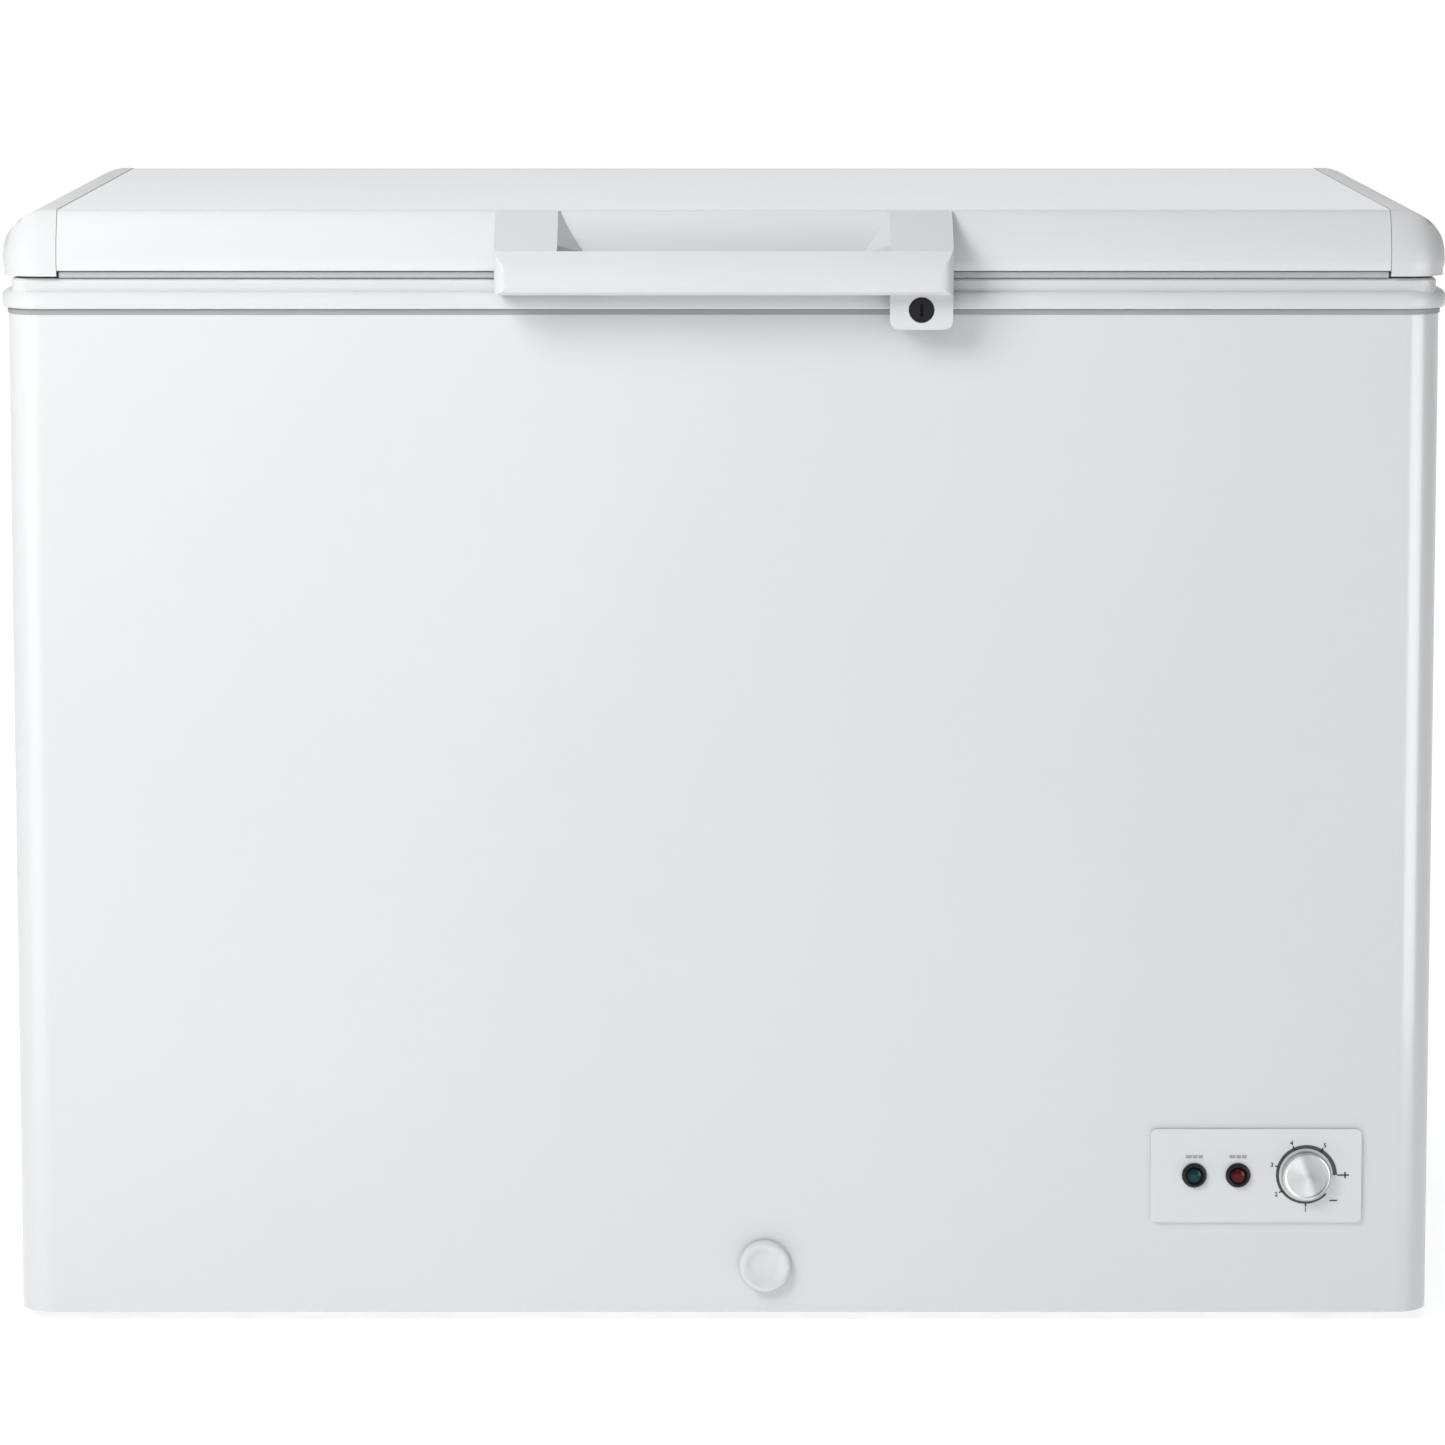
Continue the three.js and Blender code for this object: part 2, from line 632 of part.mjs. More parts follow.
// The plan of a post behind the bar: its inner side spreads towards the lid.
function postSpread(side) {
  const { front, halfWidth, postInner, barThickness, flare } = HANDLE;
  const corners = [
    [postInner, front], [postInner, front + barThickness], [postInner - flare, -312],
    [postInner - flare, -280], [halfWidth, -280], [halfWidth, front],
  ];
  return extrude("z", polygon(corners.map(([x, y]) => [side * x, y])), 700, 900);
}

// The same spread above the bar. It starts from the post's sloping face, so that the face keeps its width.
function postBrow(side) {
  const { halfWidth, postInner } = HANDLE;
  const [high, low] = FACE;
  const slope = (high[0] - low[0]) / (high[1] - low[1]);
  const [tall, deep] = [120, 200];
  const corners = [
    [postInner, -5], [postInner, 0], [postInner - 0.5 * deep, deep],
    [halfWidth + 1, deep], [halfWidth + 1, -5],
  ];
  const plan = polygon(corners.map(([x, y]) => [side * x, y]));
  const wedge = new THREE.ExtrudeGeometry(plan, { depth: tall, bevelEnabled: false });
  wedge.translate(0, 0, -tall);
  wedge.applyMatrix4(new THREE.Matrix4().makeShear(0, 0, 0, 0, 0, slope));
  wedge.translate(0, high[0], high[1]);
  return toSolid(wedge);
}

// A bar on two posts.
function lidHandle() {
  const { front, bottom, halfWidth, postInner, barThickness, flare } = HANDLE;
  const nose = [FACE[1], [-354.5, 830], [front, 822], [front, 812], [-354, 808], [-350, bottom]];
  const post = polygon([[-290, 866.8], FACE[0], ...nose, [-322, bottom], [-318, 809], [-290, 826]]);
  const back = front + barThickness;
  const bar = polygon([[-345, 837.6], ...nose, [back, bottom], [back, 834]]);
  const foot = postInner - flare;
  const posts = [-1, 1].map((side) => {
    const [from, to] = side < 0 ? [-halfWidth, -foot] : [foot, halfWidth];
    return extrude("x", post, from, to).intersect(postSpread(side)).intersect(postBrow(side));
  });
  const whole = union(...posts, extrude("x", bar, -halfWidth, halfWidth));
  const plan = extrude("z", roundedRectangle(-halfWidth, halfWidth, front, -200, 12), 700, 900);
  const lid = lidForm(GAP, LID_BOTTOM - GAP, LID_TOP + GAP);
  const underLid = around(lidRing, [[1, 800], [1, LID_BOTTOM - 0.2]]);
  return cut(whole.intersect(plan), lid, underLid, ...handleScrewHoles(2.2));
}

function handleScrew(side) {
  const [x, z] = [side * HANDLE_SCREW.x, HANDLE_SCREW.z];
  return union(rod("y", [x, z], 2, -334, -308, 10), rod("y", [x, z], 4.8, -311.2, -307, 12));
}

function lockHousing() {
  const [x0, x1] = [HANDLE.postInner, HANDLE.halfWidth];
  const top = HANDLE.bottom - GAP;
  const outside = new THREE.Shape();
  outside.moveTo(x0, top).lineTo(x0, LOCK.bottom + 7);
  outside.absarc(x0 + 7, LOCK.bottom + 7, 7, Math.PI, 1.5 * Math.PI);
  outside.lineTo(x1 - 7, LOCK.bottom).absarc(x1 - 7, LOCK.bottom + 7, 7, 1.5 * Math.PI, 2 * Math.PI);
  outside.lineTo(x1, top);
  const body = extrude("y", outside, LOCK.front, LOCK.back, 4);
  const hollow = box([x0 + 2.5, x1 - 2.5], [LOCK.front + 3, LOCK.back + 1], [LOCK.bottom + 2.6, top - 2]);
  return cut(body, hollow, rod("y", [LOCK.x, LOCK.z], 9.9, -345, -330, 24));
}

function lockCylinder() {
  const barrel = rod("y", [LOCK.x, LOCK.z], 9.6, LOCK.front + 0.5, LOCK.back - 0.5, 24);
  const shaft = rod("y", [LOCK.x, LOCK.z], 3, LOCK.back - 1, -316.4, 12);
  const keyway = box([LOCK.x - 1.1, LOCK.x + 1.1], [-340, LOCK.front + 4], [LOCK.z - 4.5, LOCK.z + 4.5]);
  return cut(union(barrel, shaft), keyway);
}

function lockCam() {
  const arm = roundedRectangle(LOCK.x - 5, LOCK.x + 5, LOCK.z - 14.5, LOCK.z + 5, 4.9);
  return cut(extrude("y", arm, -318.8, -316.8, 4), rod("y", [LOCK.x, LOCK.z], 3.2, -330, -310, 12));
}

// A hook on the frame's bead. The cam turns up under its ledge.
function lockStriker() {
  const ledge = LOCK.z + 5.6;
  const [tip, front, back] = [-319.6, CABINET.front - 6.3, CABINET.front - 5.3];
  const hook = polygon([
    [tip, ledge], [back, ledge], [back, ledge + 5],
    [front, ledge + 5], [front, ledge + 1.4], [tip, ledge + 1.4],
  ]);
  return extrude("x", hook, LOCK.x + 7, LOCK.x + 20);
}

// ---------------------------------------------------------------- the hinges
const LEAF_BACK = LID.back + 0.4;

function hingeBase(x) {
  const [y0, y1] = [CABINET.back + 2 * GAP + SHEET, CABINET.back + 3.4];
  const plate = box([x - 29.5, x + 29.5], [y0, y1], [700, 784]);
  const ear = polygon([
    [y0, 704], [346, 716], [352, 740], [352, 812], [349.4, 818.4], [343, 821], [338, 819.4], [336.4, 815],
    [336.4, 790], [y1, 784], [y0, 784],
  ]);
  const ears = [-29.5, 27].map((offset) => extrude("x", ear, x + offset, x + offset + 2.5));
  return cut(union(plate, ...ears), rod("x", [PIVOT.y, PIVOT.z], 3.7, x - 40, x + 40, 16));
}

function hingeLeaf(x) {
  const plate = box([x - 22, x + 22], [LEAF_BACK, LEAF_BACK + 2], [824, 843]);
  const link = polygon([
    [LEAF_BACK, 824], [339, 808.2], [347.5, 815.5], [LEAF_BACK + 2, 829], [LEAF_BACK, 829],
  ]);
  const arm = extrude("x", link, x - 22, x + 22);
  const knuckle = rod("x", [PIVOT.y, PIVOT.z], 6.2, x - 22, x + 22, 16);
  return cut(union(plate, arm, knuckle), rod("x", [PIVOT.y, PIVOT.z], 3.7, x - 40, x + 40, 16));
}

const hingePin = (x) => rod("x", [PIVOT.y, PIVOT.z], 3.4, x - 31, x + 31, 16);

function hingeCover(x) {
  const [y0, y1] = [CABINET.back + 2 * GAP + SHEET, 356];
  const shell = extrude("z", roundedRectangle(x - 33.5, x + 33.5, y0 - 20, y1, 5), 694, 792, 3);
  const kept = box([x - 50, x + 50], [y0, y1 + 5], [690, 800]);
  const hollow = box([x - 31, x + 31], [y0 - 1, y1 - 2.4], [697, 800]);
  return cut(shell.intersect(kept), hollow);
}

function hingeSpring(x) {
  const [turns, radius, low, high, wire, perTurn] = [5, 6.5, 706, 774, 1.3, 8];
  const points = [];
  for (let k = 0; k <= turns * perTurn; k++) {
    const angle = (2 * Math.PI * k) / perTurn;
    points.push([
      x + radius * Math.cos(angle),
      PIVOT.y + radius * Math.sin(angle),
      low + ((high - low) * k) / (turns * perTurn),
    ]);
  }
  return tube(points, wire, 4, turns * perTurn);
}

// ---------------------------------------------------------------- the assembly
const M = MATERIAL;
place("outer_wrap", outerWrap(), M.white_steel);
place("back_panel", backPanel(), M.white_steel);
place("base_plate", basePlate(), M.galvanised_steel);
place("insulation_foam", insulationFoam(), M.foam);
place("inner_liner", innerLiner(), M.liner_aluminium);
place("rim_frame", rimFrame(), M.white_plastic);
place("bay_panel", bayPanel(), M.galvanised_steel);
place("evaporator_tube", evaporatorTube(), M.copper);
place("condenser_tube", condenserTube(), M.copper);
place("foot_front_left", foot(-470, -240), M.black_plastic);
place("foot_front_right", foot(470, -240), M.black_plastic);
place("foot_back_left", foot(-470, 262), M.black_plastic);
place("foot_back_right", foot(470, 262), M.black_plastic);

place("drain_tube", drainTube(), M.white_plastic);
place("drain_cap", drainCap(), M.white_plastic);
place("drain_plug", drainPlug(), M.white_plastic);

place("control_fascia", controlFascia(), M.fascia_plastic);
place("power_lamp_bezel", lampBezel(LAMP_X[0]), M.black_plastic);
place("power_lamp_lens", lampLens(LAMP_X[0]), M.green_lens);
place("alarm_lamp_bezel", lampBezel(LAMP_X[1]), M.black_plastic);
place("alarm_lamp_lens", lampLens(LAMP_X[1]), M.red_lens);
place("thermostat_knob", thermostatKnob(), M.silver_plastic);
place("thermostat_shaft", thermostatShaft(), M.bright_steel);
place("thermostat_body", thermostatBody(), M.black_plastic);

place("compressor_shell", compressorForm(0), M.black_enamel);
place("compressor_bracket", compressorBracket(), M.galvanised_steel);
GROMMETS.forEach((at, k) => place("compressor_grommet_" + (k + 1), grommet(at), M.gasket_rubber));
place("terminal_cover", terminalCover(), M.black_plastic);
place("suction_pipe", suctionPipe(), M.copper);
place("discharge_pipe", dischargePipe(), M.copper);
place("filter_drier", filterDrier(), M.copper);
place("compressor_cover", compressorCover(), M.galvanised_steel);
place("cable_gland", cableGland(), M.black_plastic);
place("side_grille", sideGrille(), M.white_plastic);

place("lid_outer_skin", lidOuterSkin(), M.lid_steel);
place("lid_end_cap_left", lidEndCap(-1), M.white_plastic);
place("lid_end_cap_right", lidEndCap(1), M.white_plastic);
place("lid_foam", lidFoam(), M.foam);
place("lid_liner", lidLiner(), M.white_plastic);
place("lid_gasket", lidGasket(), M.gasket_rubber);
place("lid_handle", lidHandle(), M.white_plastic);
place("lock_housing", lockHousing(), M.white_plastic);
place("lock_cylinder", lockCylinder(), M.black_plastic);
place("lock_cam", lockCam(), M.bright_steel);
place("lock_striker", lockStriker(), M.bright_steel);

for (const [side, x] of [["left", -HINGE_X], ["right", HINGE_X]]) {
  place("handle_screw_" + side, handleScrew(Math.sign(x)), M.bright_steel);
  place("hinge_base_" + side, hingeBase(x), M.galvanised_steel);
  place("hinge_leaf_" + side, hingeLeaf(x), M.galvanised_steel);
  place("hinge_pin_" + side, hingePin(x), M.bright_steel);
  place("hinge_spring_" + side, hingeSpring(x), M.bright_steel);
  place("hinge_cover_" + side, hingeCover(x), M.white_plastic);
}

export default root;
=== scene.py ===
import bmesh
import bpy
import json
import math
from mathutils import Matrix, Vector


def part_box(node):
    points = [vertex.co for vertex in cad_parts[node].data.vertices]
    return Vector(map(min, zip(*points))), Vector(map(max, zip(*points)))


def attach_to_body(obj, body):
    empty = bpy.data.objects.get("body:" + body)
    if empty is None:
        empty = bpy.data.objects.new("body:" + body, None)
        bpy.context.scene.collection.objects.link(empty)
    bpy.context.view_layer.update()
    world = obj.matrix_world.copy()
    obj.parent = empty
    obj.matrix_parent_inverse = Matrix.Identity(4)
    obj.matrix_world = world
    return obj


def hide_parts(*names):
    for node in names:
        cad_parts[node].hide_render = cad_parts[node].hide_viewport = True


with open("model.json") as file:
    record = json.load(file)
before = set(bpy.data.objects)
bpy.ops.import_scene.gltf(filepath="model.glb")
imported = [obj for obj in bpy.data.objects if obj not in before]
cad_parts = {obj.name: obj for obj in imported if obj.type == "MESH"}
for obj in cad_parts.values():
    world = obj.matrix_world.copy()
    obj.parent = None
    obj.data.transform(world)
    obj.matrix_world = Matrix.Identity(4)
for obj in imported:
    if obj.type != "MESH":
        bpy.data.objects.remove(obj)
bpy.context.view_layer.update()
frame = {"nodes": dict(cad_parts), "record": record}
NODES = frame["nodes"]
MM = 0.001
SMOOTH_ANGLE = math.radians(34)


# ---------------------------------------------------------------- materials
class Shader:
    """A Principled material whose colour, roughness and bump are built up from noise in object space."""

    def __init__(self, name, roughness, metallic=0.0, **sockets):
        self.material = bpy.data.materials.new(name)
        self.material.use_nodes = True
        self.tree = self.material.node_tree
        self.bsdf = self.tree.nodes["Principled BSDF"]
        self.bsdf.inputs["Roughness"].default_value = roughness
        self.bsdf.inputs["Metallic"].default_value = metallic
        for socket, value in sockets.items():
            self.bsdf.inputs[socket.replace("_", " ")].default_value = value
        self.place = self.node("ShaderNodeTexCoord").outputs["Object"]
        self.last_bump = None

    def node(self, kind, **settings):
        made = self.tree.nodes.new(kind)
        for key, value in settings.items():
            setattr(made, key, value)
        return made

    def link(self, output, node_input):
        self.tree.links.new(output, node_input)

    def noise(self, size, detail=3.0, roughness=0.5, stretch=(1, 1, 1)):
        """Noise with features of about that size in metres."""
        mapping = self.node("ShaderNodeMapping")
        mapping.inputs["Scale"].default_value = [s / size for s in stretch]
        self.link(self.place, mapping.inputs["Vector"])
        texture = self.node("ShaderNodeTexNoise")
        texture.inputs["Scale"].default_value = 1.0
        texture.inputs["Detail"].default_value = detail
        texture.inputs["Roughness"].default_value = roughness
        self.link(mapping.outputs["Vector"], texture.inputs["Vector"])
        return texture.outputs["Fac"]

    def cells(self, size, feature="F1", smoothness=None):
        texture = self.node("ShaderNodeTexVoronoi", feature=feature)
        texture.inputs["Scale"].default_value = 1.0 / size
        if smoothness is not None:
            texture.inputs["Smoothness"].default_value = smoothness
        self.link(self.place, texture.inputs["Vector"])
        return texture

    def ramp(self, factor, *stops):
        """Colours at positions along a factor, as (position, colour) pairs."""
        made = self.node("ShaderNodeValToRGB")
        elements = made.color_ramp.elements
        while len(elements) < len(stops):
            elements.new(0.5)
        for element, (position, colour) in zip(elements, stops):
            element.position = position
            element.color = (*colour, 1)
        self.link(factor, made.inputs["Fac"])
        return made.outputs["Color"]

    def colour(self, factor, *stops):
        self.link(self.ramp(factor, *stops), self.bsdf.inputs["Base Color"])
        return self

    def vary_roughness(self, factor, low, high):
        mapped = self.node("ShaderNodeMapRange")
        mapped.inputs["To Min"].default_value = low
        mapped.inputs["To Max"].default_value = high
        self.link(factor, mapped.inputs["Value"])
        self.link(mapped.outputs["Result"], self.bsdf.inputs["Roughness"])
        return self

    def vector(self, operation, first, second):
        """A vector operation on a socket and a constant."""
        made = self.node("ShaderNodeVectorMath", operation=operation)
        self.link(first, made.inputs[0])
        made.inputs[1].default_value = second
        return made

    def length(self, vector):
        made = self.node("ShaderNodeVectorMath", operation="LENGTH")
        self.link(vector, made.inputs[0])
        return made.outputs["Value"]

    def bump(self, height, depth, strength=1.0):
        made = self.node("ShaderNodeBump")
        made.inputs["Distance"].default_value = depth
        made.inputs["Strength"].default_value = strength
        self.link(height, made.inputs["Height"])
        if self.last_bump is not None:
            self.link(self.last_bump, made.inputs["Normal"])
        self.last_bump = made.outputs["Normal"]
        self.link(self.last_bump, self.bsdf.inputs["Normal"])
        return self


def tint(colour, amount):
    return tuple(max(0.0, c * amount) for c in colour)


def painted(name, colour, roughness, peel=1.4 * MM, wave=90 * MM):
    """Painted sheet: an orange peel in the gloss, a slow waviness of the sheet, and a trace of handling."""
    shader = Shader(name, roughness, Coat_Weight=0.25, Coat_Roughness=0.1)
    shader.colour(shader.noise(0.31, 2), (0.3, tint(colour, 0.985)), (0.7, colour))
    shader.vary_roughness(shader.noise(0.25, 2), roughness * 0.95, roughness * 1.08)
    shader.bump(shader.noise(wave, 1), 0.02 * MM, 0.3)
    shader.bump(shader.noise(peel, 1), 0.002 * MM, 0.5)
    return shader.material


def moulded(name, colour, roughness, grain=0.35 * MM, depth=0.012 * MM, **sockets):
    """Injection moulding: a fine spark-eroded grain and slow sink marks."""
    shader = Shader(name, roughness, **sockets)
    shader.colour(shader.noise(0.12, 2), (0.3, tint(colour, 0.97)), (0.7, colour))
    shader.vary_roughness(shader.noise(0.02, 3), roughness * 0.85, roughness * 1.2)
    shader.bump(shader.noise(30 * MM, 1), 0.04 * MM, 0.4)
    shader.bump(shader.noise(grain, 2), depth, 0.6)
    return shader.material


def galvanised():
    shader = Shader("galvanised", 0.4, 0.85)
    spangle = shader.cells(9 * MM)
    shader.colour(spangle.outputs["Color"], (0.2, (0.50, 0.52, 0.54)), (0.8, (0.66, 0.68, 0.70)))
    shader.vary_roughness(spangle.outputs["Distance"], 0.3, 0.55)
    shader.bump(shader.noise(2 * MM), 0.02 * MM, 0.5)
    return shader.material


def bright_steel():
    shader = Shader("bright_steel", 0.25, 1.0)
    shader.colour(shader.noise(6 * MM, 4), (0.3, (0.60, 0.61, 0.63)), (0.7, (0.74, 0.75, 0.76)))
    shader.bump(shader.noise(0.5 * MM, 2, stretch=(0.1, 1, 1)), 0.01 * MM, 0.5)
    return shader.material


def stucco_liner():
    """White lacquered aluminium, embossed all over with small soft pillows."""
    shader = Shader("stucco_liner", 0.3, 0.25, Coat_Weight=0.2, Coat_Roughness=0.2)
    shader.colour(shader.noise(0.2, 2), (0.3, (0.76, 0.77, 0.78)), (0.7, (0.81, 0.82, 0.83)))
    shader.vary_roughness(shader.noise(0.03, 3), 0.24, 0.4)
    pillows = shader.cells(5 * MM, "SMOOTH_F1", 0.6)
    shader.bump(pillows.outputs["Distance"], 0.5 * MM, 0.8)
    return shader.material


def foam():
    shader = Shader("insulation", 0.9)
    shader.colour(shader.noise(8 * MM, 4), (0.3, (0.70, 0.60, 0.36)), (0.7, (0.82, 0.74, 0.50)))
    shader.bump(shader.cells(1.5 * MM).outputs["Distance"], 0.4 * MM, 0.7)
    return shader.material


def gasket_rubber():
    shader = Shader("gasket", 0.55)
    shader.colour(shader.noise(0.05, 3), (0.3, (0.70, 0.71, 0.72)), (0.7, (0.76, 0.77, 0.78)))
    shader.bump(shader.noise(0.4 * MM, 2), 0.02 * MM, 0.5)
    return shader.material


def copper():
    shader = Shader("copper", 0.28, 1.0)
    shader.colour(shader.noise(15 * MM, 4), (0.3, (0.52, 0.22, 0.12)), (0.7, (0.72, 0.36, 0.22)))
    shader.vary_roughness(shader.noise(6 * MM, 3), 0.2, 0.42)
    shader.bump(shader.noise(1 * MM, 2), 0.01 * MM, 0.5)
    return shader.material


def centre(node):
    low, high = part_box(node)
    return (low + high) / 2


def half_width(node):
    low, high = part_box(node)
    return (high.x - low.x) / 2


def lens(name, node, glow, edge):
    """A dark tinted dome whose reflector shows in the middle."""
    radius = half_width(node)
    shader = Shader(name, 0.08, Specular_IOR_Level=0.15)
    offset = shader.vector("SUBTRACT", shader.place, centre(node))
    flat = shader.vector("MULTIPLY", offset.outputs["Vector"], (1 / radius, 0, 1 / radius))
    distance = shader.length(flat.outputs["Vector"])
    shader.colour(distance, (0.0, glow), (0.45, tint(glow, 0.8)), (0.95, edge))
    shader.bump(shader.cells(0.9 * MM).outputs["Distance"], 0.03 * MM, 0.4)
    return shader.material


def knob_silver():
    """Silver lacquer over turned rings, with a painted sheen in the colour: light on one side of the face, a
    dark band past its middle, then lighter again.
    """
    radius = half_width("thermostat_knob")
    painted_sheen_direction = (0.94, 0, 0.34)
    ring_pitch = 0.25 * MM
    shader = Shader("silver_plastic", 0.3, 0.85, Anisotropic=0.7)
    grain = shader.node("ShaderNodeTangent", direction_type="RADIAL", axis="Y")
    shader.link(grain.outputs["Tangent"], shader.bsdf.inputs["Tangent"])
    offset = shader.vector("SUBTRACT", shader.place, centre("thermostat_knob"))
    painted_sheen_across = shader.vector("DOT_PRODUCT", offset.outputs["Vector"], painted_sheen_direction)
    side = shader.node("ShaderNodeMapRange")
    side.inputs["From Min"].default_value = -radius
    side.inputs["From Max"].default_value = radius
    shader.link(painted_sheen_across.outputs["Value"], side.inputs["Value"])
    # painted sheen: the colour goes light, dark, then lighter along one fixed direction over the face
    shader.colour(
        side.outputs["Result"],
        (0.46, (0.60, 0.605, 0.615)), (0.60, (0.37, 0.375, 0.39)), (0.95, (0.52, 0.525, 0.54)),
    )
    flat = shader.vector("MULTIPLY", offset.outputs["Vector"], (1, 0, 1))
    rings = shader.node("ShaderNodeTexNoise", noise_dimensions="1D")
    rings.inputs["Scale"].default_value = 1 / ring_pitch
    shader.link(shader.length(flat.outputs["Vector"]), rings.inputs["W"])
    shader.vary_roughness(rings.outputs["Fac"], 0.26, 0.36)
    shader.bump(rings.outputs["Fac"], 0.01 * MM, 0.5)
    return shader.material


MATERIALS = {
    "white_steel": painted("white_steel", (0.590, 0.597, 0.605), 0.3),
    "lid_steel": painted("lid_steel", (0.610, 0.617, 0.625), 0.26),
    "white_plastic": moulded("white_plastic", (0.590, 0.595, 0.603), 0.42),
    "fascia_plastic": moulded("fascia_plastic", (0.62, 0.632, 0.642), 0.4),
    "galvanised_steel": galvanised(),
    "bright_steel": bright_steel(),
    "liner_aluminium": stucco_liner(),
    "insulation": foam(),
    "gasket": gasket_rubber(),
    "black_plastic": moulded("black_plastic", (0.007, 0.0075, 0.009), 0.4, Specular_IOR_Level=0.25),
    "black_enamel": painted("black_enamel", (0.010, 0.011, 0.012), 0.3),
    "copper": copper(),
    "green_lens": lens("green_lens", "power_lamp_lens", (0.003, 0.048, 0.048), (0.001, 0.003, 0.005)),
    "red_lens": lens("red_lens", "alarm_lamp_lens", (0.115, 0.002, 0.007), (0.005, 0.001, 0.002)),
    "silver_plastic": knob_silver(),
    "print": moulded("print", (0.045, 0.048, 0.052), 0.5),
    "pale_print": moulded("pale_print", (0.30, 0.305, 0.31), 0.5),
    # the dark grey of the strip under the rim's bead: painted shadow
    "painted_shadow_grey": moulded("painted_shadow_grey", (0.30, 0.305, 0.315), 0.6),
    # the fin's grey: rubber, darkened below the gasket's own grey as painted shade in the joint
    "fin_rubber_painted_shade": moulded("fin_rubber_painted_shade", (0.38, 0.385, 0.395), 0.6),
}

SLOT_OF_NODE = {row["node"]: row["material_slot"] for row in frame["record"]["subparts"]}
BODY_OF_NODE = {
    node: body for body, members in frame["record"]["behaviour"]["bodies"].items() for node in members
}


# ---------------------------------------------------------------- mesh helpers
def add_object(name, mesh, material):
    mesh.materials.clear()
    mesh.materials.append(MATERIALS[material])
    made = bpy.data.objects.new(name, mesh)
    bpy.context.scene.collection.objects.link(made)
    return made


def shade(mesh, angle=SMOOTH_ANGLE):
    mesh.shade_smooth()
    mesh.set_sharp_from_angle(angle=angle)


def apply_modifiers(piece):
    evaluated = piece.evaluated_get(bpy.context.evaluated_depsgraph_get())
    mesh = bpy.data.meshes.new_from_object(evaluated)
    piece.modifiers.clear()
    piece.data = mesh
    return piece


def bevel(piece, width, segments, angle=38):
    """Rounds the edges sharper than the angle, and weights the normals by face area."""
    rounding = piece.modifiers.new("bevel", "BEVEL")
    rounding.width = width
    rounding.segments = segments
    rounding.limit_method = "ANGLE"
    rounding.angle_limit = math.radians(angle)
    rounding.harden_normals = False
    apply_modifiers(piece)
    shade(piece.data, math.radians(50))
    weighting = piece.modifiers.new("weight", "WEIGHTED_NORMAL")
    weighting.keep_sharp = True
    weighting.weight = 100
    return apply_modifiers(piece)


def stand_for(piece, *nodes):
    """The piece takes the first node's body, and hides the nodes."""
    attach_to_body(piece, BODY_OF_NODE[nodes[0]])
    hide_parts(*nodes)
    return piece


def attach(piece, body):
    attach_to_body(piece, body)
    return piece


def clean_copy(node):
    """A new mesh with the node's surface: welded, with its flat faces whole."""
    work = bmesh.new()
    work.from_mesh(NODES[node].data)
    bmesh.ops.remove_doubles(work, verts=work.verts, dist=1e-6)
    bmesh.ops.dissolve_limit(work, angle_limit=math.radians(0.6), verts=work.verts, edges=work.edges)
    work.verts.ensure_lookup_table()
    points = [v.co.copy() for v in work.verts]
    faces = [[v.index for v in f.verts] for f in work.faces]
    work.free()
    mesh = bpy.data.meshes.new(node + "_finished")
    mesh.from_pydata(points, [], faces)
    return mesh


def finished(node, width, segments=3, angle=38):
    """The node's own shape with its edges rounded."""
    piece = add_object(node + "_finished", clean_copy(node), SLOT_OF_NODE[node])
    bevel(piece, width, segments, angle)
    return stand_for(piece, node)


def lathe(name, centre, profile, material, sides=96, facing=(0, -1, 0)):
    """Turns [radius, distance] points about an axis."""
    work = bmesh.new()
    rings = []
    for radius, distance in profile:
        ring = []
        for i in range(sides):
            angle = 2 * math.pi * i / sides
            ring.append(work.verts.new((radius * math.cos(angle), radius * math.sin(angle), distance)))
        rings.append(ring)
    for low, high in zip(rings, rings[1:]):
        for i in range(sides):
            j = (i + 1) % sides
            work.faces.new((low[i], low[j], high[j], high[i]))
    work.faces.new(rings[0][::-1])
    work.faces.new(rings[-1])
    bmesh.ops.remove_doubles(work, verts=work.verts, dist=1e-7)
    turn = Vector((0, 0, 1)).rotation_difference(Vector(facing)).to_matrix().to_4x4()
    work.transform(Matrix.Translation(centre) @ turn)
    bmesh.ops.recalc_face_normals(work, faces=work.faces)
    mesh = bpy.data.meshes.new(name)
    work.to_mesh(mesh)
    work.free()
    shade(mesh)
    return add_object(name, mesh, material)


def rounded(points, radius, steps=5):
    """An open run of [r, d] points with its inner corners rounded."""
    made = [points[0]]
    for before, corner, after in zip(points, points[1:], points[2:]):
        a, c, b = (Vector((*p, 0)) for p in (before, corner, after))
        reach = min(radius, (a - c).length * 0.45, (b - c).length * 0.45)
        start, end = c + (a - c).normalized() * reach, c + (b - c).normalized() * reach
        for k in range(steps + 1):
            t = k / steps
            p = start * (1 - t) ** 2 + c * 2 * t * (1 - t) + end * t**2
            made.append((p.x, p.y))
    made.append(points[-1])
    return made


def flat_print(name, loops, material, y, thickness=0.06 * MM):
    """Thin inked shapes on a face that looks towards -Y. Each loop is a list of (x, z)."""
    work = bmesh.new()
    for loop in loops:
        front = [work.verts.new((x, y - thickness, z)) for x, z in loop]
        back = [work.verts.new((x, y, z)) for x, z in loop]
        work.faces.new(front)
        work.faces.new(back[::-1])
        for i in range(len(loop)):
            j = (i + 1) % len(loop)
            work.faces.new((front[j], front[i], back[i], back[j]))
    bmesh.ops.recalc_face_normals(work, faces=work.faces)
    mesh = bpy.data.meshes.new(name)
    work.to_mesh(mesh)
    work.free()
    return add_object(name, mesh, material)


